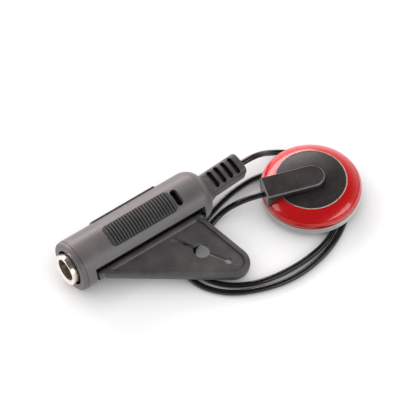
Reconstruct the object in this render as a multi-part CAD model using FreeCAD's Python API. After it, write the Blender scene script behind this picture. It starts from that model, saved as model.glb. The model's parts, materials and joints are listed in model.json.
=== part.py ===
import FreeCAD, Part
import math
import os

# Piezo pickup: a jack barrel, a strap flap, a thin lead and a round stick-on sensor.
# Millimetres. X runs along the barrel from the jack mouth at the origin, Z is up.
# The barrel lies on a table, so the table is one barrel radius below the origin.

# barrel
barrel_radius = 7.5
barrel_length = 46.7
shell_wall = 2.25
nose_x = 1.8
nose_land = 1.5
nose_round = 0.8
nose_step = 0.08
crease_x = 3.2
dome_length = 3.8
dome_mid_back = 1.5
dome_mid_drop = 0.75
barrel_roll = 14.5

# window in the side of the barrel for the flap's root
window_front_x = 5.9
window_rear_wall = 3.9
window_half_angle = 41.0

# grip inserts
rib_count = 23
rib_pitch = 0.93
rib_height = 0.4
rib_top_width = 0.41
rib_foot_width = 0.6
pad_centre_x = 24.3
pad_end_margin = 0.2
pad_half_angle = 25.5
pad_corner = 1.3
pad_pocket_depth = 0.5
pad_stand = 0.03
pad_gap = 0.12

# small oblong slot behind the top insert
oblong_x = 36.7
oblong_width = 2.1
oblong_length = 5.2

# jack socket
plug_diameter = 6.35
plug_clearance = 0.075
sleeve_length = 13.0
sleeve_wall = 0.75
sleeve_flange_radius = 4.52
sleeve_edge = 0.12
mouth_radius = 4.1
mouth_depth = 0.35
core_front_x = 4.0
core_seat = 3.5
fit_gap = 0.05

# contact chamber in the core
chamber_wall = 2.0
chamber_gap = 0.35
rear_chamber_radius = 4.4
strip_width = 2.0
strip_thickness = 0.35
strip_height = 3.9
strip_tail_room = 4.8
strip_tail_length = 3.4
strip_slot_gap = 0.05
pocket_gap = 0.3
tip_contact_height = 2.4
tip_spring_room = 2.4
tip_spring_reach = 3.6
tip_spring_nose = 2.1
lug_thickness = 0.4

# strap flap
flap_dip = 10.0
flap_rim_thickness = 2.6
flap_panel_thickness = 1.5
flap_rim_width = 1.55
flap_front_x = 9.1
flap_front_out = 8.0
flap_tip_set_back = 1.4
flap_tip_out = 23.1
flap_tip_radius = 4.8
flap_rear_lip = 0.4
flap_rear_out = 8.9
flap_root_inset = 0.9
flap_edge_round = 0.7
flap_root_round = 2.0
bead_radius = 1.2
bead_end_gap = 0.9
eye_radius = 0.9
eye_depth = 0.6
stub_radius = 0.5
stub_seat = 0.8
keyhole_set_back = 5.3
keyhole_out = 15.4
keyhole_angle = 56.0
button_hole_diameter = 4.7
end_hole_diameter = 2.0
end_hole_spacing = 8.05
slit_width = 1.0

# strain relief
boot_width = 6.8
boot_corner = 1.6
boot_crown = 0.8
boot_flare_length = 2.4
boot_flare_radius = 3.55
boot_flare_bow = 0.38
boot_end_round = 0.9
boot_slots = 4
boot_slot_pitch = 2.45
boot_slot_width = 1.35
boot_slot_length = 5.4
boot_slot_depth = 1.6
boot_first_slot = 7.0
wire_hole_radius = 0.65

# lead
lead_diameter = 1.7
floor_gap = 0.03
wire_radius = 0.3
wire_offset = 0.32

# sensor
sensor_x = 73.25
sensor_y = -15.1
sensor_radius = 14.15
arm_angle = 162.0
base_height = 2.4
base_floor = 0.9
base_wall = 1.3
base_chamfer = 0.3
seam_height = 0.35
seam_depth = 0.7
cover_height = 6.4
cover_side_height = 1.3
cover_bulge = 0.33
cover_side_lean = 0.35
cover_skin = 0.85
cover_step = 0.13
cap_radius = 9.8
cap_thickness = 1.2
cap_crown = 0.12
ring_width = 0.28
ring_stand = 0.08
arm_half_width = 3.65
arm_height = 1.9
arm_tip_back = 0.2
arm_set_back = 0.35
arm_edge = 0.35
arm_wall = 0.9
arm_entry_height = 5.3
channel_half_width = 0.75
channel_room = 0.4
spigot_depth = 0.8
spigot_wall = 1.1
sensor_lift = 0.12

# sensor inside
plate_side_gap = 2.85
plate_thickness = 0.3
ceramic_set_back = 2.6
ceramic_thickness = 0.25
foam_set_back = 0.5
foam_hole_radius = 2.4
solder_radius = 0.9
solder_height = 1.0
solder_face_offset = 0.25
solder_face_set_back = 0.95
plate_solder_set_back = 1.2
ceramic_solder_x = 1.0
wire_drop_room = 0.6
wire_drop_bend = 1.9

# how far a cutting or trimming solid runs past the piece it cuts
cut_past = 1.0

# worked out from the sizes above
dome_x = barrel_length - dome_length
core_rear_x = barrel_length - core_seat
strip_tail_x = core_rear_x - strip_tail_room
solder_face_x = strip_tail_x - solder_face_set_back
chamber_wall_x = strip_tail_x - strip_tail_length - chamber_wall
tip_spring_bend_x = chamber_wall_x - tip_spring_room
tip_contact_x = tip_spring_bend_x - tip_spring_reach
tip_spring_end_x = tip_contact_x - tip_spring_nose
window_rear_x = barrel_length - window_rear_wall
bead_front_x = window_front_x + bead_end_gap
bead_rear_x = window_rear_x - bead_end_gap
flap_rear_x = bead_rear_x + flap_rear_lip
flap_tip_x = flap_rear_x - flap_tip_set_back
keyhole_x = flap_tip_x - keyhole_set_back
floor_z = -barrel_radius
bore_radius = barrel_radius - shell_wall
core_radius = bore_radius - fit_gap
socket_radius = plug_diameter / 2 + plug_clearance
sleeve_radius = socket_radius + sleeve_wall
lead_radius = lead_diameter / 2
lead_floor = floor_z + lead_radius + floor_gap
sensor_z = floor_z + lead_diameter + floor_gap + sensor_lift
boot_root_x = core_rear_x
bead_out = core_radius + fit_gap + bead_radius
arm_end_x = sensor_radius - arm_set_back
cap_floor = cover_height - cap_thickness
plate_radius = sensor_radius - base_wall - plate_side_gap
ceramic_radius = plate_radius - ceramic_set_back
foam_radius = ceramic_radius - foam_set_back
plate_solder_x = plate_radius - plate_solder_set_back
cover_rim_z = base_height + seam_height

# route of the lead, from the strain relief round two loose turns to the sensor's arm
lead_route = [
    (60.3, 0.95, 0.2),
    (65.43, 1.235, 0.26),
    (73.6, 2.9, lead_floor),
    (81.6, -3.6, lead_floor),
    (84.8, -12.3, lead_floor),
    (82.8, -20.6, lead_floor),
    (76.8, -27.3, lead_floor),
    (69.1, -32.1, lead_floor),
    (60.3, -34.7, lead_floor),
    (51.5, -35.2, lead_floor),
    (42.9, -33.0, lead_floor),
    (34.9, -28.9, lead_floor),
    (29.8, -22.2, lead_floor),
    (29.0, -14.6, lead_floor),
    (33.2, -8.8, lead_floor),
    (40.5, -6.5, lead_floor),
    (48.0, -3.6, lead_floor),
    (56.6, -1.4, lead_floor),
    (65.4, -1.2, lead_floor),
    (73.2, -4.6, lead_floor),
    (78.0, -11.2, lead_floor),
    (78.8, -19.0, lead_floor),
    (75.0, -26.2, lead_floor),
    (67.7, -30.7, lead_floor),
    (58.9, -32.3, lead_floor),
    (50.4, -32.1, lead_floor),
    (42.4, -30.4, lead_floor),
    (35.5, -26.0, lead_floor),
    (31.6, -19.2, lead_floor),
    (34.2, -12.2, lead_floor),
    (39.6, -9.2, lead_floor),
    (45.3, -6.9, lead_floor),
    (50.2, -6.3, -4.6),
]
arm_direction = math.radians(arm_angle)
entry_x = sensor_x + arm_end_x * math.cos(arm_direction)
entry_y = sensor_y + arm_end_x * math.sin(arm_direction)
entry_z = sensor_z + arm_entry_height
entry_run = 4.6
lead_route.append((entry_x + entry_run * math.cos(arm_direction),
                   entry_y + entry_run * math.sin(arm_direction), entry_z))
lead_route.append((entry_x, entry_y, entry_z))

x_axis = FreeCAD.Vector(1, 0, 0)
y_axis = FreeCAD.Vector(0, 1, 0)
z_axis = FreeCAD.Vector(0, 0, 1)
origin = FreeCAD.Vector(0, 0, 0)


def vec(x, y, z):
    return FreeCAD.Vector(x, y, z)


def turned(shape, degrees, axis=x_axis, centre=origin):
    copy = shape.copy()
    copy.rotate(centre, axis, degrees)
    return copy


def line(start, end):
    return Part.LineSegment(start, end).toShape()


def arc(start, middle, end):
    return Part.Arc(start, middle, end).toShape()


def closed_wire(points):
    return Part.makePolygon(points + [points[0]])


def along_x(x, radius):
    # a point of a profile that turns about the barrel axis
    return vec(x, 0, radius)


def up_z(radius, height):
    # a point of a profile that turns about the sensor axis
    return vec(radius, 0, height)


def revolve(wire, axis, angle=360):
    return Part.Face(wire).revolve(origin, axis, angle)


def cylinder_x(x_start, x_end, radius, y=0.0, z=0.0):
    return Part.makeCylinder(radius, x_end - x_start, vec(x_start, y, z), x_axis)


def cylinder_z(z_start, z_end, radius, x=0.0, y=0.0):
    return Part.makeCylinder(radius, z_end - z_start, vec(x, y, z_start), z_axis)


def block(x_start, x_end, y_start, y_end, z_start, z_end):
    size = (x_end - x_start, y_end - y_start, z_end - z_start)
    return Part.makeBox(size[0], size[1], size[2], vec(x_start, y_start, z_start))


def upright_edges(shape):
    found = []
    for edge in shape.Edges:
        ends = [vertex.Point for vertex in edge.Vertexes]
        if len(ends) == 2 and abs(ends[0].x - ends[1].x) + abs(ends[0].y - ends[1].y) < 0.001:
            found.append(edge)
    return found


def rounded_slab(x_mid, length, width, corner, z_start, z_end):
    slab = block(x_mid - length / 2, x_mid + length / 2, -width / 2, width / 2, z_start, z_end)
    return slab.makeFillet(corner, upright_edges(slab))


def tube_along(points, radius, name):
    # straight runs joined by tangent arcs, each arc as large as its two runs allow
    corners = [vec(p[0], p[1], p[2]) for p in points]
    edges = []
    radii = []
    last_end = corners[0]
    for index in range(1, len(corners) - 1):
        before = corners[index] - corners[index - 1]
        after = corners[index + 1] - corners[index]
        half_turn = before.getAngle(after) / 2
        reach = 0.45 * min(before.Length, after.Length)
        bend = reach / math.tan(half_turn)
        radii.append(bend)
        into = before.normalize()
        out = after.normalize()
        arc_start = corners[index] - into * reach
        arc_end = corners[index] + out * reach
        inward = (out - into).normalize()
        middle = corners[index] + inward * (bend / math.cos(half_turn) - bend)
        edges.append(line(last_end, arc_start))
        edges.append(arc(arc_start, middle, arc_end))
        last_end = arc_end
    edges.append(line(last_end, corners[-1]))
    path = Part.Wire(edges)
    start_direction = corners[1] - corners[0]
    circle = Part.Wire([Part.makeCircle(radius, corners[0], start_direction)])
    tube = path.makePipeShell([circle], True, True)
    ideal = math.pi * radius ** 2 * path.Length
    print(name, "length", round(path.Length, 1), "volume ratio", round(tube.Volume / ideal, 4))
    print("  radii", [round(value, 1) for value in radii])
    return tube


def shell_body():
    # the nose is a flat face with a rounded edge, and ends in a small step at the crease
    nose_radius = barrel_radius - nose_step
    face_radius = bore_radius + nose_land
    shoulder_x = nose_x + nose_round
    diagonal = math.sqrt(0.5)
    nose_mid = along_x(shoulder_x - diagonal * nose_round,
                       face_radius + diagonal * (nose_radius - face_radius))
    dome_mid = along_x(barrel_length - dome_mid_back, barrel_radius - dome_mid_drop)
    edges = [
        line(along_x(nose_x, bore_radius), along_x(nose_x, face_radius)),
        arc(along_x(nose_x, face_radius), nose_mid, along_x(shoulder_x, nose_radius)),
        line(along_x(shoulder_x, nose_radius), along_x(crease_x, nose_radius)),
        line(along_x(crease_x, nose_radius), along_x(crease_x, barrel_radius)),
        line(along_x(crease_x, barrel_radius), along_x(dome_x, barrel_radius)),
        arc(along_x(dome_x, barrel_radius), dome_mid, along_x(barrel_length, bore_radius)),
        line(along_x(barrel_length, bore_radius), along_x(nose_x, bore_radius)),
    ]
    return revolve(Part.Wire(edges), x_axis)


def window_cut():
    inner = bore_radius - cut_past
    outer = barrel_radius + cut_past
    profile = closed_wire([along_x(window_front_x, inner), along_x(window_rear_x, inner),
                           along_x(window_rear_x, outer), along_x(window_front_x, outer)])
    wedge = revolve(profile, x_axis, 2 * window_half_angle)
    # the profile starts straight up, and the flap's side lies a quarter turn on
    return turned(wedge, 90 - window_half_angle)


def pad_slab(gap):
    length = rib_count * rib_pitch + 2 * pad_end_margin + 2 * gap
    width = 2 * barrel_radius * math.sin(math.radians(pad_half_angle)) + 2 * gap
    return rounded_slab(pad_centre_x, length, width, pad_corner + gap, 0, barrel_radius + cut_past)


def grip_pad(angle):
    floor_radius = barrel_radius - pad_pocket_depth
    base = barrel_radius + pad_stand
    crest = base + rib_height
    start = pad_centre_x - rib_count * rib_pitch / 2
    low = start - pad_end_margin - cut_past
    high = start + rib_count * rib_pitch + pad_end_margin + cut_past
    points = [along_x(low, floor_radius), along_x(low, base)]
    for index in range(rib_count):
        middle = start + (index + 0.5) * rib_pitch
        points.append(along_x(middle - rib_foot_width / 2, base))
        points.append(along_x(middle - rib_top_width / 2, crest))
        points.append(along_x(middle + rib_top_width / 2, crest))
        points.append(along_x(middle + rib_foot_width / 2, base))
    points.append(along_x(high, base))
    points.append(along_x(high, floor_radius))
    ribs = revolve(closed_wire(points), x_axis, 120)
    ribs = turned(ribs, -60)
    return turned(ribs.common(pad_slab(0)), angle)


def barrel_shell():
    shell = shell_body().cut(window_cut())
    pocket = pad_slab(pad_gap).cut(cylinder_x(0, barrel_length, barrel_radius - pad_pocket_depth))
    for angle in (0, -90):
        shell = shell.cut(turned(pocket, angle))
    oblong = rounded_slab(oblong_x, oblong_width, oblong_length, oblong_width * 0.49, 0, barrel_radius + 1)
    shell = shell.cut(oblong)
    for x_start, x_end in ((bead_front_x - stub_reach(), bead_front_x), (bead_rear_x, rear_stub_end())):
        socket = cylinder_x(x_start, x_end, stub_radius + fit_gap, -bead_out)
        shell = shell.cut(turned(socket, flap_dip - barrel_roll))
    return shell


def stub_reach():
    return bead_front_x - window_front_x + stub_seat


def rear_stub_end():
    return window_rear_x + stub_seat


def jack_sleeve():
    points = [
        along_x(mouth_depth, socket_radius),
        along_x(0, mouth_radius),
        along_x(0, sleeve_flange_radius - sleeve_edge),
        along_x(sleeve_edge, sleeve_flange_radius),
        along_x(core_front_x, sleeve_flange_radius),
        along_x(core_front_x, sleeve_radius),
        along_x(sleeve_length, sleeve_radius),
        along_x(sleeve_length, socket_radius),
    ]
    return revolve(closed_wire(points), x_axis)


def strip_pocket():
    half = strip_width / 2 + pocket_gap
    top = strip_height + strip_thickness / 2 + pocket_gap
    return block(sleeve_length, chamber_wall_x, -half, half, 0, top)


def strip_slot():
    half = strip_width / 2 + strip_slot_gap
    thick = strip_thickness / 2 + strip_slot_gap
    end = chamber_wall_x + chamber_wall
    return block(chamber_wall_x, end, -half, half, strip_height - thick, strip_height + thick)


def jack_core():
    body = cylinder_x(core_front_x, core_rear_x, core_radius)
    lug_end = sleeve_length + lug_thickness
    body = body.cut(cylinder_x(core_front_x, lug_end, sleeve_radius + fit_gap))
    body = body.cut(cylinder_x(lug_end, chamber_wall_x, socket_radius + chamber_gap))
    body = body.cut(cylinder_x(chamber_wall_x + chamber_wall, core_rear_x, rear_chamber_radius))
    for angle in (0, 180):
        body = body.cut(turned(strip_pocket(), angle))
        body = body.cut(turned(strip_slot(), angle))
    return body


def strip_along(points):
    # a flat strip that follows a line in the plane of the barrel axis, with mitred bends
    half = strip_thickness / 2
    upper = []
    lower = []
    for index, point in enumerate(points):
        before = points[max(index - 1, 0)]
        after = points[min(index + 1, len(points) - 1)]
        lead_in = math.atan2(point[1] - before[1], point[0] - before[0])
        lead_out = math.atan2(after[1] - point[1], after[0] - point[0])
        if index == 0:
            lead_in = lead_out
        if index == len(points) - 1:
            lead_out = lead_in
        mean = (lead_in + lead_out) / 2
        reach = half / math.cos((lead_out - lead_in) / 2)
        shift_x = reach * math.sin(mean)
        shift_z = reach * math.cos(mean)
        upper.append(vec(point[0] - shift_x, -strip_width / 2, point[1] + shift_z))
        lower.append(vec(point[0] + shift_x, -strip_width / 2, point[1] - shift_z))
    outline = closed_wire(upper + lower[::-1])
    return Part.Face(outline).extrude(y_axis * strip_width)


def tip_spring():
    points = [
        (tip_spring_end_x, tip_contact_height + 0.9),
        (tip_contact_x - 0.5, tip_contact_height),
        (tip_contact_x + 0.5, tip_contact_height),
        (tip_spring_bend_x, strip_height),
        (strip_tail_x, strip_height),
    ]
    return strip_along(points)


def sleeve_lug():
    ring = cylinder_x(sleeve_length, sleeve_length + lug_thickness, sleeve_radius)
    tail = block(sleeve_length, strip_tail_x, -strip_width / 2, strip_width / 2,
                 -strip_height - strip_thickness / 2, -strip_height + strip_thickness / 2)
    lug = ring.fuse(tail).removeSplitter()
    return lug.cut(cylinder_x(sleeve_length - 1, sleeve_length + 1, socket_radius))


def solder_dome(height):
    # a rounded lump that stands on the plane at its base, narrowing upwards
    edges = [
        line(up_z(0, 0), up_z(solder_radius, 0)),
        arc(up_z(solder_radius, 0), up_z(0.72 * solder_radius, 0.72 * height), up_z(0, height)),
        line(up_z(0, height), up_z(0, 0)),
    ]
    return revolve(Part.Wire(edges), z_axis)


def jack_solder(side):
    # side is 1 for the tip spring above the axis and -1 for the lug below it
    # the wire starts at the joint's flat face
    dome = turned(solder_dome(solder_height), 180) if side > 0 else solder_dome(solder_height)
    dome.translate(vec(solder_face_x - solder_face_offset, 0, side * (strip_height - strip_thickness / 2)))
    trim = block(solder_face_x, solder_face_x + solder_radius, -solder_radius, solder_radius,
                 -strip_height, strip_height)
    return dome.cut(trim)


def boot_direction():
    exit_point = vec(*lead_route[0])
    return exit_point - vec(boot_root_x, 0, 0)


def jack_wire(side, name):
    # from the solder joint in the rear chamber down to the boot's wire hole and out to the lead
    height = strip_height - strip_thickness / 2 - wire_radius - 0.1
    roll = math.radians(barrel_roll)
    along = boot_direction()
    reach = along.Length
    along.normalize()
    offset = vec(0, -math.sin(roll), math.cos(roll)) * (side * wire_offset)
    offset = offset - along * offset.dot(along)
    root = vec(boot_root_x, 0, 0)
    top = vec(0, -math.sin(roll), math.cos(roll)) * (side * height)
    points = [
        vec(solder_face_x, 0, 0) + top,
        vec(strip_tail_x + 0.3, 0, 0) + top,
        root + offset - along * 2.1,
        root + offset + along * reach,
    ]
    return tube_along([(p.x, p.y, p.z) for p in points], wire_radius, name)


def boot_slot(x_mid):
    bottom = boot_width / 2 - boot_slot_depth
    return rounded_slab(x_mid, boot_slot_width, boot_slot_length, boot_slot_width * 0.49, bottom, boot_width)


def boot_section(x):
    # a square with crowned upper and lower sides
    half = boot_width / 2
    side = half - boot_crown
    edges = [
        line(vec(x, -half, -side), vec(x, -half, side)),
        arc(vec(x, -half, side), vec(x, 0, half), vec(x, half, side)),
        line(vec(x, half, side), vec(x, half, -side)),
        arc(vec(x, half, -side), vec(x, 0, -half), vec(x, -half, -side)),
    ]
    return Part.Wire(edges)


def strain_relief():
    flange_end = barrel_length
    flare_end = flange_end + boot_flare_length
    flare_mid = along_x(flange_end + boot_flare_bow * boot_flare_length,
                        boot_flare_radius + boot_flare_bow * (core_radius - boot_flare_radius))
    edges = [
        line(along_x(boot_root_x, 0), along_x(boot_root_x, core_radius)),
        line(along_x(boot_root_x, core_radius), along_x(flange_end, core_radius)),
        arc(along_x(flange_end, core_radius), flare_mid, along_x(flare_end, boot_flare_radius)),
        line(along_x(flare_end, boot_flare_radius), along_x(flare_end, 0)),
        line(along_x(flare_end, 0), along_x(boot_root_x, 0)),
    ]
    root_part = revolve(Part.Wire(edges), x_axis)
    along = boot_direction()
    start = flange_end - boot_root_x
    body = Part.Face(boot_section(start)).extrude(x_axis * (along.Length - start))
    long_edges = [edge for edge in body.Edges if abs(edge.Length - (along.Length - start)) < 0.001]
    body = body.makeFillet(boot_corner, long_edges)
    end_edges = [edge for edge in body.Edges if edge.BoundBox.XMin > along.Length - 0.001]
    body = body.makeFillet(boot_end_round, end_edges)
    for index in range(boot_slots):
        slot = boot_slot(boot_first_slot + index * boot_slot_pitch)
        for angle in (0, 180):
            body = body.cut(turned(slot, angle))
    tilt = FreeCAD.Rotation(x_axis, along)
    body = turned(body, barrel_roll)
    body.Placement = FreeCAD.Placement(vec(boot_root_x, 0, 0), tilt).multiply(body.Placement)
    hole_start = vec(boot_root_x, 0, 0) - along * 0.005
    hole = Part.makeCylinder(wire_hole_radius, along.Length + 0.2, hole_start, along)
    return root_part.fuse(body).cut(hole).removeSplitter()


def tangent_point(point, centre, radius, side):
    # where a line from the point touches the circle
    dx = point[0] - centre[0]
    dy = point[1] - centre[1]
    base = math.atan2(dy, dx)
    swing = math.acos(radius / math.hypot(dx, dy))
    angle = base + side * swing
    return (centre[0] + radius * math.cos(angle), centre[1] + radius * math.sin(angle))


def flap_outline(inset, height):
    # the flap's plan, smaller all round by the inset, at one height
    tip = (flap_tip_x, flap_tip_out)
    radius = flap_tip_radius - inset
    front = (flap_front_x + 1.9 * inset, flap_front_out + 0.3 * inset)
    rear = (flap_rear_x - inset, flap_rear_out)
    front_touch = tangent_point(front, tip, radius, -1)
    rear_touch = tangent_point(rear, tip, radius, 1)
    front_angle = math.atan2(front_touch[1] - tip[1], front_touch[0] - tip[0])
    rear_angle = math.atan2(rear_touch[1] - tip[1], rear_touch[0] - tip[0])
    middle = 0.5 * (front_angle + rear_angle)
    far = (tip[0] + radius * math.cos(middle), tip[1] + radius * math.sin(middle))
    root_front = (bead_front_x + flap_root_inset + 1.5 * inset, bead_out)
    root_rear = (bead_rear_x - flap_root_inset - inset, bead_out)
    flat = [root_rear, root_front, front, front_touch, far, rear_touch, rear]
    spots = [vec(x, -out, height) for x, out in flat]
    edges = [
        line(spots[0], spots[1]),
        line(spots[1], spots[2]),
        line(spots[2], spots[3]),
        arc(spots[3], spots[4], spots[5]),
        line(spots[5], spots[6]),
        line(spots[6], spots[0]),
    ]
    return Part.Wire(edges)


def flap_plate():
    half = flap_rim_thickness / 2
    plate = Part.Face(flap_outline(0, -half)).extrude(z_axis * flap_rim_thickness)
    corners = [edge for edge in upright_edges(plate)
               if abs(edge.Vertexes[0].Point.y + bead_out) > 0.01
               and edge.Vertexes[0].Point.y > -flap_tip_out / 2]
    plate = plate.makeFillet(flap_root_round, corners)
    rims = [edge for edge in plate.Edges
            if abs(edge.BoundBox.ZMax - edge.BoundBox.ZMin) < 0.001
            and edge.BoundBox.YMin < -bead_out - 0.001]
    return plate.makeFillet(flap_edge_round, rims)


def keyhole_cut():
    angle = math.radians(keyhole_angle)
    deep = flap_rim_thickness
    cut = cylinder_z(-deep, deep, button_hole_diameter / 2, keyhole_x, -keyhole_out)
    slit = block(keyhole_x - end_hole_spacing, keyhole_x + end_hole_spacing,
                 -keyhole_out - slit_width / 2, -keyhole_out + slit_width / 2, -deep, deep)
    slit = turned(slit, -keyhole_angle, z_axis, vec(keyhole_x, -keyhole_out, 0))
    cut = cut.fuse(slit)
    for side in (-1, 1):
        x = keyhole_x + side * end_hole_spacing * math.cos(angle)
        out = keyhole_out + side * end_hole_spacing * math.sin(angle)
        cut = cut.fuse(cylinder_z(-deep, deep, end_hole_diameter / 2, x, -out))
    return cut


def strap_flap():
    flap = flap_plate()
    inner = Part.Face(flap_outline(flap_rim_width, 0))
    for side in (-1, 1):
        pocket = inner.extrude(z_axis * (side * flap_rim_thickness))
        pocket.translate(z_axis * (side * flap_panel_thickness / 2))
        flap = flap.cut(pocket)
    bead = cylinder_x(bead_front_x, bead_rear_x, bead_radius, -bead_out)
    eye = cylinder_x(bead_front_x, bead_front_x + eye_depth, eye_radius, -bead_out)
    bead = bead.cut(eye)
    stub_end = bead_front_x + eye_depth
    front_stub = cylinder_x(bead_front_x - stub_reach(), stub_end, stub_radius, -bead_out)
    rear_stub = cylinder_x(bead_rear_x, rear_stub_end(), stub_radius, -bead_out)
    flap = flap.fuse([bead, front_stub, rear_stub]).removeSplitter()
    return flap.cut(keyhole_cut())


def on_sensor(shape):
    placed = turned(shape, arm_angle, z_axis)
    placed.translate(vec(sensor_x, sensor_y, sensor_z))
    return placed


def sensor_base():
    inner = sensor_radius - base_wall
    points = [
        up_z(0, 0),
        up_z(sensor_radius - base_chamfer, 0),
        up_z(sensor_radius, base_chamfer),
        up_z(sensor_radius, base_height),
        up_z(inner, base_height),
        up_z(inner, base_floor),
        up_z(0, base_floor),
    ]
    return revolve(closed_wire(points), z_axis)


def cover_outside(extra):
    # the cover's outer line from its seam up to the recess for the cap, as edges
    side_top = cover_rim_z + cover_side_height
    shoulder = sensor_radius - cover_side_lean
    recess = recess_radius()
    mid_radius = (shoulder + recess) / 2
    lift = extra
    step_z = cover_rim_z + 0.42 * cover_side_height
    points = [
        up_z(sensor_radius + lift, cover_rim_z),
        up_z(sensor_radius + lift, step_z),
        up_z(sensor_radius - cover_step + lift, step_z + cover_step),
        up_z(shoulder + lift, side_top + lift),
    ]
    edges = [line(points[index], points[index + 1]) for index in range(3)]
    top = up_z(recess, cover_height + lift)
    crown = up_z(mid_radius, (side_top + cover_height) / 2 + cover_bulge + lift)
    edges.append(arc(points[3], crown, top))
    return edges


def recess_radius():
    return cap_radius + fit_gap + ring_width + fit_gap


def sensor_cover():
    wall_inner = sensor_radius - base_wall - fit_gap
    spigot_inner = wall_inner - spigot_wall
    seam_inner = sensor_radius - seam_depth
    under = cap_floor - cover_skin
    recess = recess_radius()
    edges = cover_outside(0)
    edges.append(line(up_z(recess, cover_height), up_z(recess, cap_floor)))
    edges.append(line(up_z(recess, cap_floor), up_z(0, cap_floor)))
    edges.append(line(up_z(0, cap_floor), up_z(0, under)))
    edges.append(line(up_z(0, under), up_z(spigot_inner, under)))
    spigot_floor = base_height - spigot_depth
    edges.append(line(up_z(spigot_inner, under), up_z(spigot_inner, spigot_floor)))
    edges.append(line(up_z(spigot_inner, spigot_floor), up_z(wall_inner, spigot_floor)))
    edges.append(line(up_z(wall_inner, spigot_floor), up_z(wall_inner, base_height)))
    edges.append(line(up_z(wall_inner, base_height), up_z(seam_inner, base_height)))
    edges.append(line(up_z(seam_inner, base_height), up_z(seam_inner, cover_rim_z)))
    edges.append(line(up_z(seam_inner, cover_rim_z), up_z(sensor_radius, cover_rim_z)))
    cover = revolve(Part.Wire(edges), z_axis)
    cover = cover.cut(wire_groove())
    for x in (plate_solder_x, ceramic_solder_x):
        cover = cover.cut(wire_drop(x, under - 1))
    return cover


def wire_drop(x, low):
    # room for one wire to bend down through the floor
    half = channel_half_width
    return block(x - wire_drop_room, x + wire_drop_bend, -half, half, low, cap_floor + 1)


def wire_groove():
    # the way of the two wires from the arm's end to their drops
    low = arm_entry_height - wire_radius - 0.1
    return block(0, arm_end_x, -channel_half_width, channel_half_width, low, cover_height + 1)


def trim_ring():
    inner = cap_radius + fit_gap
    outer = inner + ring_width
    ring = cylinder_z(cap_floor, cover_height + ring_stand, outer)
    ring = ring.cut(cylinder_z(cap_floor - 1, cover_height + 1, inner))
    return ring.cut(wire_groove())


def cap_disc():
    edges = [
        line(up_z(0, cap_floor), up_z(cap_radius, cap_floor)),
        line(up_z(cap_radius, cap_floor), up_z(cap_radius, cover_height)),
        arc(up_z(cap_radius, cover_height), up_z(cap_radius / 2, cover_height + 0.75 * cap_crown),
            up_z(0, cover_height + cap_crown)),
        line(up_z(0, cover_height + cap_crown), up_z(0, cap_floor)),
    ]
    return revolve(Part.Wire(edges), z_axis)


def cap_arm():
    top = cover_height + cap_crown + arm_height
    end = arm_end_x
    low = cover_rim_z + cover_side_height
    side = [
        vec(-arm_tip_back, -arm_half_width, cap_floor),
        vec(end, -arm_half_width, low),
        vec(end, -arm_half_width, top),
        vec(-arm_tip_back, -arm_half_width, top),
    ]
    body = Part.Face(closed_wire(side)).extrude(y_axis * (2 * arm_half_width))
    tip = cylinder_z(cap_floor, top, arm_half_width, -arm_tip_back)
    arm = body.fuse(tip).removeSplitter()
    rim = [edge for edge in arm.Edges if edge.BoundBox.ZMin > top - 0.01]
    return arm.makeChamfer(arm_edge, rim)


def sensor_cap():
    # what the cap must stay clear of: the cover's outside with a small gap, and the ring
    edges = cover_outside(fit_gap)
    recess = recess_radius()
    ring_top = cover_height + ring_stand + fit_gap
    edges.append(line(up_z(recess, cover_height + fit_gap), up_z(recess, ring_top)))
    edges.append(line(up_z(recess, ring_top), up_z(cap_radius, ring_top)))
    edges.append(line(up_z(cap_radius, ring_top), up_z(cap_radius, cap_floor)))
    edges.append(line(up_z(cap_radius, cap_floor), up_z(0, cap_floor)))
    edges.append(line(up_z(0, cap_floor), up_z(0, 0)))
    edges.append(line(up_z(0, 0), up_z(sensor_radius + fit_gap, 0)))
    edges.append(line(up_z(sensor_radius + fit_gap, 0), up_z(sensor_radius + fit_gap, cover_rim_z)))
    keep_out = revolve(Part.Wire(edges), z_axis)
    cap = cap_disc().fuse(cap_arm().cut(keep_out)).removeSplitter()
    roof = arm_entry_height + wire_radius + channel_room
    low = arm_entry_height - wire_radius - 0.1
    channel_end = arm_end_x - arm_wall
    cap = cap.cut(block(0, channel_end, -channel_half_width, channel_half_width, low, roof))
    return cap.cut(cylinder_x(channel_end - 0.2, arm_end_x + 1, wire_hole_radius, 0, arm_entry_height))


def piezo_plate():
    return cylinder_z(base_floor, base_floor + plate_thickness, plate_radius)


def piezo_ceramic():
    low = base_floor + plate_thickness
    return cylinder_z(low, low + ceramic_thickness, ceramic_radius)


def backing_foam():
    low = base_floor + plate_thickness + ceramic_thickness
    foam = cylinder_z(low, cap_floor - cover_skin, foam_radius)
    return foam.cut(cylinder_z(0, cover_height, foam_hole_radius, ceramic_solder_x))


def sensor_wire(side, drop_x, drop_z, name):
    y = side * wire_offset
    points = [
        (arm_end_x, y, arm_entry_height),
        (drop_x, y, arm_entry_height),
        (drop_x, y, drop_z),
    ]
    return tube_along(points, wire_radius, name)


def sensor_solder(wire, x, side, low):
    dome = solder_dome(solder_height)
    dome.translate(vec(x, side * wire_offset, low))
    return dome.cut(wire)


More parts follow.
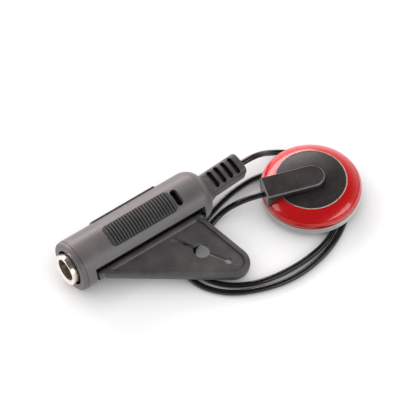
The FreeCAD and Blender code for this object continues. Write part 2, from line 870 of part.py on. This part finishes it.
def build():
    nodes = {}
    signal_jack = jack_wire(1, "signal_wire_jack")
    ground_jack = jack_wire(-1, "ground_wire_jack")
    barrel_pieces = {
        "barrel_shell": barrel_shell(),
        "grip_pad_top": grip_pad(0),
        "grip_pad_back": grip_pad(-90),
        "jack_core": jack_core(),
        "jack_sleeve": jack_sleeve(),
        "tip_spring": tip_spring(),
        "sleeve_lug": sleeve_lug(),
    }
    for name, shape in barrel_pieces.items():
        nodes[name] = turned(shape, barrel_roll)
    nodes["tip_solder"] = turned(jack_solder(1), barrel_roll)
    nodes["sleeve_solder"] = turned(jack_solder(-1), barrel_roll)
    nodes["signal_wire_jack"] = signal_jack
    nodes["ground_wire_jack"] = ground_jack
    nodes["strap_flap"] = turned(strap_flap(), flap_dip)
    nodes["strain_relief"] = strain_relief()
    nodes["lead"] = tube_along(lead_route, lead_radius, "lead")
    ceramic_top = base_floor + plate_thickness + ceramic_thickness
    plate_top = base_floor + plate_thickness
    signal_sensor = sensor_wire(1, ceramic_solder_x, ceramic_top + 0.3, "signal_wire_sensor")
    ground_sensor = sensor_wire(-1, plate_solder_x, plate_top + 0.3, "ground_wire_sensor")
    sensor_pieces = {
        "sensor_base": sensor_base(),
        "sensor_cover": sensor_cover(),
        "trim_ring": trim_ring(),
        "sensor_cap": sensor_cap(),
        "piezo_plate": piezo_plate(),
        "piezo_ceramic": piezo_ceramic(),
        "backing_foam": backing_foam(),
        "signal_wire_sensor": signal_sensor,
        "ground_wire_sensor": ground_sensor,
        "ceramic_solder": sensor_solder(signal_sensor, ceramic_solder_x, 1, ceramic_top),
        "plate_solder": sensor_solder(ground_sensor, plate_solder_x, -1, plate_top),
    }
    for name, shape in sensor_pieces.items():
        nodes[name] = on_sensor(shape)
    return nodes


os.makedirs("parts", exist_ok=True)
for node_name, node_shape in build().items():
    box = node_shape.BoundBox
    print(node_name, "solids", len(node_shape.Solids), "valid", node_shape.isValid(),
          "volume", round(node_shape.Volume, 2), "z", round(box.ZMin, 2), round(box.ZMax, 2))
    node_shape.exportStep("parts/" + node_name + ".step")
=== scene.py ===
import json
import math

import bpy
import numpy as np
from mathutils import Matrix, Vector


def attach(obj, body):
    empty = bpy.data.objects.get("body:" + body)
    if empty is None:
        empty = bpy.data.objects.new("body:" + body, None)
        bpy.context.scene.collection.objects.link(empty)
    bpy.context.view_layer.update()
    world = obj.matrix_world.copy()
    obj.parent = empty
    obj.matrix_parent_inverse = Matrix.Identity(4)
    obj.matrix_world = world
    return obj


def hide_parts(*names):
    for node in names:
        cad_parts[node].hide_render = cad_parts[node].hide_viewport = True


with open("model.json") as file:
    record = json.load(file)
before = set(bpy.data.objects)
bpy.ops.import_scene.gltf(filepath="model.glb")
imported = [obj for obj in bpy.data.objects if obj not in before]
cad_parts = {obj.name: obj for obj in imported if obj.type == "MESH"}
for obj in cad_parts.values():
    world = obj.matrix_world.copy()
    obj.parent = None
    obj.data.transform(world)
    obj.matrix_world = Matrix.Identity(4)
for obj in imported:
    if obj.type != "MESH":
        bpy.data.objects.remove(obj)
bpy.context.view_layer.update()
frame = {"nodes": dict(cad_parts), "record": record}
print("frame loaded")

mm = 0.001

# camera at the photograph's angle, fitted to it: metres, radians and pixels
cameraSettings = {
    "place": (-0.605073300, -0.894658770, 1.548140390),
    "azimuth": -0.631692955,
    "elevation": 0.952915733,
    "roll": 0.00835867431,
    "focalPixels": 6848.13975,
    "imageWidth": 420,
    "sensorWidth": 36.0,
    "clip": (0.1, 20.0),
}


def makeCamera(s):
    # the camera looks along minus back; right and up are turned about it by the roll
    a, e, roll = s["azimuth"], s["elevation"], s["roll"]
    back = np.array([math.sin(a) * math.cos(e), -math.cos(a) * math.cos(e), math.sin(e)])
    right = np.array([math.cos(a), math.sin(a), 0.0])
    up = np.cross(back, right)
    turnedRight = right * math.cos(roll) + up * math.sin(roll)
    turnedUp = up * math.cos(roll) - right * math.sin(roll)
    data = bpy.data.cameras.new("camera")
    data.sensor_width = s["sensorWidth"]
    data.lens = s["focalPixels"] / s["imageWidth"] * s["sensorWidth"]
    data.clip_start, data.clip_end = s["clip"]
    camera = bpy.data.objects.new("camera", data)
    bpy.context.scene.collection.objects.link(camera)
    pose = np.eye(4)
    pose[:3, 0], pose[:3, 1], pose[:3, 2] = turnedRight, turnedUp, back
    pose[:3, 3] = s["place"]
    camera.matrix_world = Matrix(pose.tolist())
    bpy.context.scene.camera = camera


makeCamera(cameraSettings)
print("camera ready")


def hexLinear(code, alpha=1.0):
    # sRGB hex to linear: the piecewise curve of the sRGB standard
    parts = np.array([int(code[i:i + 2], 16) for i in (1, 3, 5)]) / 255.0
    linear = np.where(parts <= 0.04045, parts / 12.92, ((parts + 0.055) / 1.055) ** 2.4)
    return (*[float(v) for v in linear], alpha)


def addNode(tree, kind, values=None, links=None, **settings):
    node = tree.nodes.new(kind)
    for key, value in settings.items():
        setattr(node, key, value)
    for socket, value in (values or {}).items():
        node.inputs[socket].default_value = value
    for socket, source in (links or {}).items():
        tree.links.new(source, node.inputs[socket])
    return node


# lead: a thin round cable in two loose turns, from the strain relief to the sensor's arm;
# its length is the route's, in metres
leadSettings = {
    "diameter": 1.7 * mm,
    "length": 0.2699,
    "bevelResolution": 6,
    "resolution": 12,
}
# control points in mm, from the boot to the sensor's arm; at -6.62 the cable lies on the floor
leadPoints = [
    (60.3, 0.95, 0.2),
    (65.43, 1.235, 0.26),
    (73.6, 2.9, -6.62),
    (81.6, -3.6, -6.62),
    (84.8, -12.3, -6.62),
    (82.8, -20.6, -6.62),
    (76.8, -27.3, -6.62),
    (69.1, -32.1, -6.62),
    (60.3, -34.7, -6.62),
    (51.5, -35.2, -6.62),
    (42.9, -33.0, -6.62),
    (34.9, -28.9, -6.62),
    (29.8, -22.2, -6.62),
    (29.0, -14.6, -6.62),
    (33.2, -8.8, -6.62),
    (40.5, -6.5, -6.62),
    (48.0, -3.6, -6.62),
    (56.6, -1.4, -6.62),
    (65.4, -1.2, -6.62),
    (73.2, -4.6, -6.62),
    (78.0, -11.2, -6.62),
    (78.8, -19.0, -6.62),
    (75.0, -26.2, -6.62),
    (67.7, -30.7, -6.62),
    (58.9, -32.3, -6.62),
    (50.4, -32.1, -6.62),
    (42.4, -30.4, -6.62),
    (35.5, -26.0, -6.62),
    (31.6, -19.2, -6.62),
    (34.2, -12.2, -6.62),
    (39.6, -9.2, -6.62),
    (45.3, -6.9, -6.62),
    (50.2, -6.3, -4.6),
]
# the straight end: where it meets the arm, in mm, and which way the arm's mouth looks
leadArm = {"end": (60.1258, -10.8356, -0.35), "direction": math.radians(162), "run": 4.6}


def addLead(s, points, arm):
    # one smooth line through the route's control points, with a round section
    x, y, z = arm["end"]
    run, turn = arm["run"], arm["direction"]
    points = points + [(x + run * math.cos(turn), y + run * math.sin(turn), z), (x, y, z)]
    curve = bpy.data.curves.new("lead_cable", "CURVE")
    curve.dimensions = "3D"
    curve.resolution_u = s["resolution"]
    # the points carry the section's radius, which keeps the curve's own box tight
    curve.bevel_depth = 1.0
    curve.bevel_resolution = s["bevelResolution"]
    curve.use_fill_caps = True
    spline = curve.splines.new("NURBS")
    spline.points.add(len(points) - 1)
    spline.points.foreach_set("co", [v for p in points for v in (p[0] * mm, p[1] * mm, p[2] * mm, 1.0)])
    spline.points.foreach_set("radius", [s["diameter"] / 2] * len(points))
    spline.order_u = 3
    spline.use_endpoint_u = True
    lead = bpy.data.objects.new("lead_cable", curve)
    bpy.context.scene.collection.objects.link(lead)
    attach(lead, "root")
    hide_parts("lead")
    return lead


lead = addLead(leadSettings, leadPoints, leadArm)
print("lead laid out")


# floor and studio
floorSettings = {
    "height": -7.5 * mm,
    "half": 1.6,
    "colour": "#bcbcbc",
    "lift": 0.62,
    "shadeReach": 10 * mm,
}


def addFloor(s):
    # a flat square under the object
    mesh = bpy.data.meshes.new("studio_floor")
    h, z = s["half"], s["height"]
    mesh.from_pydata([(-h, -h, z), (h, -h, z), (h, h, z), (-h, h, z)], [], [(0, 1, 2, 3)])
    floor = bpy.data.objects.new("studio_floor", mesh)
    bpy.context.scene.collection.objects.link(floor)
    return floor


def newFinish(name):
    material = bpy.data.materials.new(name)
    material.use_nodes = True
    tree = material.node_tree
    tree.nodes.clear()
    output = addNode(tree, "ShaderNodeOutputMaterial")
    return material, tree, output


def floorPaper(s):
    # grey-white paper, lifted to white for the eye where the sky over it is open, so that it keeps
    # its shade under and beside the object; reflections see it lifted everywhere
    material, tree, output = newFinish("white_paper_sweep")
    rays = addNode(tree, "ShaderNodeLightPath")
    openSky = addNode(tree, "ShaderNodeAmbientOcclusion", values={"Distance": s["shadeReach"]})
    paper = addNode(tree, "ShaderNodeBsdfDiffuse", values={"Color": hexLinear(s["colour"])})
    shaded = addNode(tree, "ShaderNodeMath", operation="MULTIPLY",
                     links={0: rays.outputs["Is Camera Ray"], 1: openSky.outputs["AO"]})
    seen = addNode(tree, "ShaderNodeMath", operation="MAXIMUM",
                   links={0: shaded.outputs[0], 1: rays.outputs["Is Glossy Ray"]})
    lift = addNode(tree, "ShaderNodeMath", operation="MULTIPLY", values={1: s["lift"]},
                   links={0: seen.outputs[0]})
    glow = addNode(tree, "ShaderNodeEmission", values={"Color": (1, 1, 1, 1)},
                   links={"Strength": lift.outputs[0]})
    both = addNode(tree, "ShaderNodeAddShader", links={0: paper.outputs[0], 1: glow.outputs[0]})
    tree.links.new(both.outputs[0], output.inputs["Surface"])
    return material


floor = addFloor(floorSettings)
floor.data.materials.append(floorPaper(floorSettings))

worldSettings = {"light": 0.38, "horizon": 1.0, "zenith": 0.1, "bandTop": 0.65}


def makeWorld(s):
    # white to the eye; reflections see a bright low sky that darkens upwards; softer as a light
    world = bpy.data.worlds.new("studio")
    world.use_nodes = True
    tree = world.node_tree
    tree.nodes.clear()
    output = addNode(tree, "ShaderNodeOutputWorld")
    rays = addNode(tree, "ShaderNodeLightPath")
    direction = addNode(tree, "ShaderNodeTexCoord")
    parts = addNode(tree, "ShaderNodeSeparateXYZ", links={0: direction.outputs["Generated"]})
    sky = addNode(tree, "ShaderNodeMapRange", links={"Value": parts.outputs["Z"]},
                  values={"From Min": 0.0, "From Max": s["bandTop"],
                          "To Min": s["horizon"], "To Max": s["zenith"]},
                  interpolation_type="SMOOTHSTEP")
    seen = addNode(tree, "ShaderNodeMath", operation="MAXIMUM",
                   links={0: rays.outputs["Is Camera Ray"], 1: rays.outputs["Is Transmission Ray"]})
    soft = addNode(tree, "ShaderNodeBackground", values={"Color": (1, 1, 1, 1), "Strength": s["light"]})
    mirrored = addNode(tree, "ShaderNodeBackground", values={"Color": (1, 1, 1, 1)},
                       links={"Strength": sky.outputs["Result"]})
    white = addNode(tree, "ShaderNodeBackground", values={"Color": (1, 1, 1, 1), "Strength": 1.0})
    glossy = addNode(tree, "ShaderNodeMixShader",
                     links={0: rays.outputs["Is Glossy Ray"], 1: soft.outputs[0], 2: mirrored.outputs[0]})
    mixed = addNode(tree, "ShaderNodeMixShader",
                    links={0: seen.outputs[0], 1: glossy.outputs[0], 2: white.outputs[0]})
    tree.links.new(mixed.outputs[0], output.inputs["Surface"])
    bpy.context.scene.world = world


makeWorld(worldSettings)

lampSettings = {
    "back": {"place": (0.22, 0.85, 0.4), "size": (1.0, 0.4), "power": 9.0, "colour": "#ffeef0"},
    "left": {"place": (-0.5, 0.62, 0.5), "size": (1.0, 0.45), "power": 4.2, "colour": "#fff6f6"},
    "front": {"place": (0.4, -0.75, 0.42), "size": (0.9, 0.35), "power": 3.6, "colour": "#ffffff"},
}
lampAim = (45 * mm, -10 * mm, 0)


def addLamp(name, s, aim):
    data = bpy.data.lights.new(name, "AREA")
    data.shape = "RECTANGLE"
    data.size, data.size_y = s["size"]
    data.energy = s["power"]
    data.color = hexLinear(s["colour"])[:3]
    lamp = bpy.data.objects.new(name, data)
    lamp.location = s["place"]
    back = Vector(s["place"]) - Vector(aim)
    lamp.rotation_euler = back.to_track_quat("Z", "Y").to_euler()
    bpy.context.scene.collection.objects.link(lamp)


for name, s in lampSettings.items():
    addLamp("lamp_" + name, s, lampAim)
bpy.context.scene.view_settings.view_transform = "Standard"
print("studio lit")


# which part of a pattern's range a change is spread over
noiseSpan = {"tone": (0.35, 0.65), "rough": (0.3, 0.7), "wearAndHighlight": (0.4, 0.7), "cells": (0.3, 0.7)}


def noise(tree, coord, size, detail=2.0, roughness=0.55):
    # a noise pattern whose scale is one over its feature size in metres
    return addNode(tree, "ShaderNodeTexNoise", links={"Vector": coord},
                   values={"Scale": 1.0 / size, "Detail": detail, "Roughness": roughness}).outputs["Fac"]


def ramp(tree, value, low, high, start=0.0, end=1.0, curve="LINEAR"):
    # start where the value is low, end where it is high
    node = addNode(tree, "ShaderNodeMapRange", links={"Value": value}, interpolation_type=curve,
                   values={"From Min": low, "From Max": high, "To Min": start, "To Max": end})
    return node.outputs["Result"]


def lineAt(tree, value, place, half, curve="SMOOTHSTEP"):
    # 1 where the value is at its place, falling to 0 a half width away
    away = addNode(tree, "ShaderNodeMath", operation="SUBTRACT", values={1: place}, links={0: value})
    away = addNode(tree, "ShaderNodeMath", operation="ABSOLUTE", links={0: away.outputs[0]})
    return ramp(tree, away.outputs[0], 0.0, half, 1.0, 0.0, curve=curve)


def bumped(tree, height, depth, before=None):
    links = {"Height": height}
    if before is not None:
        links["Normal"] = before
    return addNode(tree, "ShaderNodeBump", values={"Distance": depth}, links=links).outputs["Normal"]


def blended(tree, factor, first, second, amount=1.0):
    # two colours mixed by a pattern; each is a colour or a socket, and 6 and 7 are the node's colour inputs
    if amount != 1.0:
        scaled = addNode(tree, "ShaderNodeMath", operation="MULTIPLY", values={1: amount},
                         links={0: factor})
        factor = scaled.outputs[0]
    node = addNode(tree, "ShaderNodeMix", data_type="RGBA", links={0: factor})
    for slot, colour in ((6, first), (7, second)):
        if isinstance(colour, tuple):
            node.inputs[slot].default_value = colour
        else:
            tree.links.new(colour, node.inputs[slot])
    return node.outputs[2]


def surfaced(tree, output, values, links):
    shader = addNode(tree, "ShaderNodeBsdfPrincipled", values=values, links=links)
    tree.links.new(shader.outputs[0], output.inputs["Surface"])


def objectCoord(tree):
    return addNode(tree, "ShaderNodeTexCoord").outputs["Object"]


def stretched(tree, scale):
    # object coordinates squeezed per axis, so that a pattern runs along one of them
    return addNode(tree, "ShaderNodeMapping", values={"Scale": scale},
                   links={"Vector": objectCoord(tree)}).outputs[0]


def centredOn(tree, coord, centre):
    # places counted from a centre
    return addNode(tree, "ShaderNodeVectorMath", operation="SUBTRACT", values={1: centre},
                   links={0: coord}).outputs[0]


def aboutAxis(tree, coord, along):
    # a place's distance from the axis through the origin, and how far along that axis it lies
    parts = addNode(tree, "ShaderNodeSeparateXYZ", links={0: coord})
    across = [parts.outputs[axis] for axis in "XYZ" if axis != along]
    flat = addNode(tree, "ShaderNodeCombineXYZ", links={0: across[0], 1: across[1]})
    radius = addNode(tree, "ShaderNodeVectorMath", operation="LENGTH", links={0: flat.outputs[0]})
    return radius.outputs["Value"], parts.outputs[along]


sensorCentre = (73.25 * mm, -15.1 * mm, -5.65 * mm)
mouldedSettings = {
    # satin grey shell: spark-eroded mould grain, a handled sheen in soft patches and a little dust
    "barrel_plastic": {
        "name": "satin_spark_eroded_abs", "colour": "#676464", "pale": "#757272", "patch": 9 * mm,
        "grain": 0.14 * mm, "depth": 0.010 * mm, "rough": (0.34, 0.5), "dust": 0.25,
        # the seam: a fine groove with painted shade darkening it
        "seam": {"place": 3.05 * mm, "half": 0.14 * mm, "depth": 0.05 * mm, "dark": 0.5}},
    # pads: matt, slightly green black, with pale dust specks and painted shade darkening the grooves
    "grip_rubber": {
        "name": "matt_overmoulded_tpe", "colour": "#484a48", "pale": "#565856", "patch": 3 * mm,
        "grain": 0.09 * mm, "depth": 0.008 * mm, "rough": (0.62, 0.8), "dust": 0.3},
    # core: plain near-black nylon that stays dark behind the ferrule and the flap
    "core_plastic": {
        "name": "black_moulded_nylon", "colour": "#0c0c0c", "pale": "#121212", "patch": 4 * mm,
        "grain": 0.2 * mm, "depth": 0.006 * mm, "rough": (0.45, 0.6), "dust": 0.05},
    # flap: soft rubber with a dull bloom that drifts over the panel
    "flap_rubber": {
        "name": "soft_rubber_with_bloom", "colour": "#524f4f", "pale": "#625f5f", "patch": 6 * mm,
        "grain": 0.18 * mm, "depth": 0.010 * mm, "rough": (0.4, 0.58), "dust": 0.35},
    # boot: a finer, tighter rubber than the flap's, with an even satin
    "boot_rubber": {
        "name": "satin_strain_relief_rubber", "colour": "#4a4848", "pale": "#575454", "patch": 4 * mm,
        "grain": 0.12 * mm, "depth": 0.007 * mm, "rough": (0.42, 0.58), "dust": 0.2},
    # cap and arm: finest grain, warm black, rubbed patches, and bevelled edges painted pale as a highlight
    "cap_plastic": {
        "name": "fine_textured_black_abs", "colour": "#262424", "pale": "#302d2d", "patch": 5 * mm,
        "grain": 0.10 * mm, "depth": 0.006 * mm, "rough": (0.3, 0.42), "dust": 0.3,
        "dome": {"centre": sensorCentre, "radius": 9.8 * mm, "height": 0.9 * mm, "top": 6.7 * mm},
        # painted highlight: bevelled edges sloping at 45 degrees are painted pale
        "wearAndHighlight": {"colour": "#a8a2a0", "slope": 0.707, "half": 0.12, "amount": 0.35}},
    # base: pale smooth plastic with faint flow marks
    "base_plastic": {
        "name": "pale_smooth_polystyrene", "colour": "#c8c2c0", "pale": "#d4cfcd", "patch": 8 * mm,
        "grain": 0.5 * mm, "depth": 0.003 * mm, "rough": (0.16, 0.3), "dust": 0.1},
    # wires: clean, slightly glossy insulation in the two colours of a signal and a ground
    "wire_red": {
        "name": "red_pvc_insulation", "colour": "#a81414", "pale": "#b82020", "patch": 2 * mm,
        "grain": 0.1 * mm, "depth": 0.002 * mm, "rough": (0.3, 0.4), "dust": 0.0},
    "wire_black": {
        "name": "black_pvc_insulation", "colour": "#141414", "pale": "#1e1e1e", "patch": 2 * mm,
        "grain": 0.1 * mm, "depth": 0.002 * mm, "rough": (0.3, 0.4), "dust": 0.0},
}
dustSettings = {"colour": "#a8a29c", "size": 0.22 * mm, "span": (0.66, 0.74)}
# painted shade in grooves and recesses: its reach, and how dark the most walled-in colour gets
paintedCreviceShadeSettings = {"reach": 2.0 * mm, "closed": 0.28, "open": 0.75, "deepest": 0.05}
black = (0.0, 0.0, 0.0, 1.0)


def shallowDome(tree, coord, s):
    # the cap's top is a little domed: it falls with the squared share of its radius, but not on the
    # arm, which stands above the top's level
    radius, level = aboutAxis(tree, centredOn(tree, coord, s["centre"]), "Z")
    share = addNode(tree, "ShaderNodeMath", operation="DIVIDE", values={1: s["radius"]}, links={0: radius})
    squared = addNode(tree, "ShaderNodeMath", operation="POWER", values={1: 2.0},
                      links={0: share.outputs[0]})
    below = addNode(tree, "ShaderNodeMath", operation="LESS_THAN", values={1: s["top"]}, links={0: level})
    fall = addNode(tree, "ShaderNodeMath", operation="MULTIPLY",
                   links={0: squared.outputs[0], 1: below.outputs[0]})
    return bumped(tree, fall.outputs[0], -s["height"])


def paintedEdgeHighlight(tree, colour, s):
    # painted highlight on bevelled edges: faces whose normal's height part is near one over the root of two
    # are painted pale
    facing = addNode(tree, "ShaderNodeNewGeometry").outputs["True Normal"]
    upward = addNode(tree, "ShaderNodeSeparateXYZ", links={0: facing}).outputs["Z"]
    edge = lineAt(tree, upward, s["slope"], s["half"], curve="LINEAR")
    return blended(tree, edge, colour, hexLinear(s["colour"]), amount=s["amount"])


def paintedCreviceShade(tree, colour, s):
    # painted shade in grooves: the colour is darkened by how far a point is walled in, as a share of the
    # open sky
    walled = addNode(tree, "ShaderNodeAmbientOcclusion", values={"Distance": s["reach"]}).outputs["AO"]
    shade = ramp(tree, walled, s["closed"], s["open"], s["deepest"], 1.0)
    return blended(tree, shade, black, colour)


def mouldedFinish(s, dust, crevice):
    material, tree, output = newFinish(s["name"])
    coord = objectCoord(tree)
    patch = noise(tree, coord, s["patch"], detail=4.0)
    grain = noise(tree, coord, s["grain"], detail=3.0, roughness=0.7)
    specks = ramp(tree, noise(tree, coord, dust["size"], detail=1.0), *dust["span"])
    tone = ramp(tree, patch, *noiseSpan["tone"])
    colour = blended(tree, tone, hexLinear(s["colour"]), hexLinear(s["pale"]))
    colour = blended(tree, specks, colour, hexLinear(dust["colour"]), amount=s["dust"])
    # painted shade: the colour darkened in grooves and recesses
    colour = paintedCreviceShade(tree, colour, crevice)
    before = shallowDome(tree, coord, s["dome"]) if "dome" in s else None
    # painted highlight on the bevelled edges
    if "wearAndHighlight" in s:
        colour = paintedEdgeHighlight(tree, colour, s["wearAndHighlight"])
    if "seam" in s:
        # a fine groove round the nose where its cap meets the shell, with painted shade darkening the line
        seam = s["seam"]
        along = addNode(tree, "ShaderNodeSeparateXYZ", links={0: coord}).outputs["X"]
        line = lineAt(tree, along, seam["place"], seam["half"])
        colour = blended(tree, line, colour, black, amount=seam["dark"])
        before = bumped(tree, line, -seam["depth"])
    normal = bumped(tree, grain, s["depth"], before)
    rough = ramp(tree, patch, *noiseSpan["rough"], *s["rough"])
    surfaced(tree, output, {}, {"Base Color": colour, "Roughness": rough, "Normal": normal})
    return material


jacketSettings = {
    "name": "glossy_pvc_jacket", "colour": "#0e0e0e", "pale": "#1a1919", "wave": 1.6 * mm,
    "depth": 0.02 * mm, "grain": 0.08 * mm, "grainDepth": 0.0015 * mm, "rough": (0.16, 0.3),
}


def jacketFinish(s):
    # extruded cable: glossy, with a faint waviness that breaks up its long highlights
    material, tree, output = newFinish(s["name"])
    coord = objectCoord(tree)
    wave = noise(tree, coord, s["wave"], detail=1.0)
    normal = bumped(tree, noise(tree, coord, s["grain"]), s["grainDepth"], bumped(tree, wave, s["depth"]))
    colour = blended(tree, wave, hexLinear(s["colour"]), hexLinear(s["pale"]))
    rough = ramp(tree, wave, *noiseSpan["rough"], *s["rough"])
    surfaced(tree, output, {}, {"Base Color": colour, "Roughness": rough, "Normal": normal})
    return material


turnedSettings = {
    # nickel: bright warm plating whose fine tool rings smear the lamps
    "nickel": {
        "name": "turned_nickel_plate", "colour": "#f0e8de", "centre": (0, 0, 0), "along": "X",
        "ring": 0.09 * mm, "depth": 0.0012 * mm, "smudge": 1.8 * mm, "rough": (0.22, 0.34)},
    # trim ring: a duller line of light round the cap
    "ring_metal": {
        "name": "turned_bright_ring", "colour": "#d8ccc0", "centre": sensorCentre, "along": "Z",
        "ring": 0.07 * mm, "depth": 0.001 * mm, "smudge": 1.8 * mm, "rough": (0.45, 0.6)},
}


def turnedFinish(s):
    # tool marks run round the lathe axis: noise over the radius and the place along the axis
    material, tree, output = newFinish(s["name"])
    coord = centredOn(tree, objectCoord(tree), s["centre"])
    radius, along = aboutAxis(tree, coord, s["along"])
    lathe = addNode(tree, "ShaderNodeCombineXYZ", links={0: radius, 1: along}).outputs[0]
    rings = noise(tree, lathe, s["ring"], detail=3.0)
    smudge = noise(tree, coord, s["smudge"], detail=3.0)
    rough = ramp(tree, smudge, *noiseSpan["tone"], *s["rough"])
    surfaced(tree, output, {"Base Color": hexLinear(s["colour"]), "Metallic": 1.0},
             {"Roughness": rough, "Normal": bumped(tree, rings, s["depth"])})
    return material


lacquerSettings = {
    "name": "metallic_red_lacquer", "deep": "#b40000", "bright": "#f20c18", "brightness": (0.25, 0.75),
    "flake": 0.11 * mm, "depth": 0.012 * mm, "peel": 1.4 * mm, "peelDepth": 0.004 * mm,
    "metal": 0.15, "rough": 0.34, "specular": 0.15, "coatRough": 0.13, "coatIndex": 1.5,
    "bead": {"centre": sensorCentre, "radius": 13.6 * mm, "half": 0.22 * mm, "height": 0.1 * mm},
}


def ringBead(tree, coord, s):
    # a fine raised line round the cover's shoulder: it stands where the radius is the line's own
    radius = aboutAxis(tree, centredOn(tree, coord, s["centre"]), "Z")[0]
    return bumped(tree, lineAt(tree, radius, s["radius"], s["half"]), s["height"])


def lacquerFinish(s):
    # red base with fine metal flakes under a clear coat whose orange peel bends the reflections a little
    material, tree, output = newFinish(s["name"])
    coord = objectCoord(tree)
    flakes = addNode(tree, "ShaderNodeTexVoronoi", values={"Scale": 1.0 / s["flake"]},
                     links={"Vector": coord})
    facet = addNode(tree, "ShaderNodeSeparateXYZ", links={0: flakes.outputs["Color"]}).outputs["X"]
    glint = ramp(tree, facet, 0.0, 1.0, *s["brightness"])
    colour = blended(tree, glint, hexLinear(s["deep"]), hexLinear(s["bright"]))
    bead = ringBead(tree, coord, s["bead"])
    peel = bumped(tree, noise(tree, coord, s["peel"], detail=2.0), s["peelDepth"], bead)
    surfaced(tree, output, {"Metallic": s["metal"], "Roughness": s["rough"],
                            "Specular IOR Level": s["specular"], "Coat Weight": 1.0,
                            "Coat Roughness": s["coatRough"], "Coat IOR": s["coatIndex"]},
             {"Base Color": colour, "Normal": bumped(tree, facet, s["depth"], bead), "Coat Normal": peel})
    return material


sheetMarks = {"lines": 3 * mm, "patch": 2.5 * mm}
sheetSettings = {
    # contacts: tinned strip with drawn lines and a yellowed tone where it is worn
    "contact_metal": {
        "name": "tinned_spring_strip", "colour": "#cfc7b0", "wearAndHighlight": "#a89c80", "grain": (40, 1, 1),
        "depth": 0.0008 * mm, "rough": (0.25, 0.4)},
    # piezo's plate: rolled brass, browner in patches
    "plate_brass": {
        "name": "rolled_brass", "colour": "#c8a050", "wearAndHighlight": "#a87c38", "grain": (1, 40, 1),
        "depth": 0.0008 * mm, "rough": (0.22, 0.4)},
    # solder: grey metal with a lumpy skin
    "solder": {
        "name": "tin_solder", "colour": "#b8b8b8", "wearAndHighlight": "#8e8e90", "grain": (1, 1, 1),
        "depth": 0.01 * mm, "rough": (0.2, 0.4)},
}


def sheetFinish(s, marks):
    # rolled or drawn metal: fine lines across one axis and a duller tone in patches
    material, tree, output = newFinish(s["name"])
    lines = noise(tree, stretched(tree, s["grain"]), marks["lines"], detail=4.0)
    patch = noise(tree, objectCoord(tree), marks["patch"], detail=3.0)
    tone = ramp(tree, patch, *noiseSpan["wearAndHighlight"])
    colour = blended(tree, tone, hexLinear(s["colour"]), hexLinear(s["wearAndHighlight"]))
    rough = ramp(tree, patch, *noiseSpan["rough"], *s["rough"])
    surfaced(tree, output, {"Metallic": 1.0},
             {"Base Color": colour, "Roughness": rough, "Normal": bumped(tree, lines, s["depth"])})
    return material


cellSettings = {
    # ceramic: fine silvery grains
    "ceramic": {
        "name": "fired_silver_on_ceramic", "colour": "#cfccc4", "gap": "#b4b0a8", "cell": 0.12 * mm,
        "depth": 0.004 * mm, "rough": 0.45},
    # foam: dark cells with darker gaps, quite dull
    "foam": {
        "name": "closed_cell_foam", "colour": "#505052", "gap": "#242426", "cell": 0.45 * mm,
        "depth": 0.12 * mm, "rough": 0.9},
}


def cellFinish(s):
    # grains or cells with darker gaps between them
    material, tree, output = newFinish(s["name"])
    cells = addNode(tree, "ShaderNodeTexVoronoi", values={"Scale": 1.0 / s["cell"]},
                    links={"Vector": objectCoord(tree)}).outputs["Distance"]
    tone = ramp(tree, cells, *noiseSpan["cells"])
    colour = blended(tree, tone, hexLinear(s["colour"]), hexLinear(s["gap"]))
    surfaced(tree, output, {"Roughness": s["rough"]},
             {"Base Color": colour, "Normal": bumped(tree, cells, -s["depth"])})
    return material


finishes = {slot: mouldedFinish(s, dustSettings, paintedCreviceShadeSettings) for slot, s in mouldedSettings.items()}
finishes["lead_jacket"] = jacketFinish(jacketSettings)
finishes["cover_red"] = lacquerFinish(lacquerSettings)
finishes.update({slot: turnedFinish(s) for slot, s in turnedSettings.items()})
finishes.update({slot: sheetFinish(s, sheetMarks) for slot, s in sheetSettings.items()})
finishes.update({slot: cellFinish(s) for slot, s in cellSettings.items()})
slots = {row["node"]: row["material_slot"] for row in frame["record"]["subparts"]}
for node, part in frame["nodes"].items():
    finish = finishes[slots[node]]
    if not part.data.materials:
        part.data.materials.append(finish)
    for place in part.material_slots:
        place.material = finish
lead.data.materials.append(finishes["lead_jacket"])
print("finishes set")
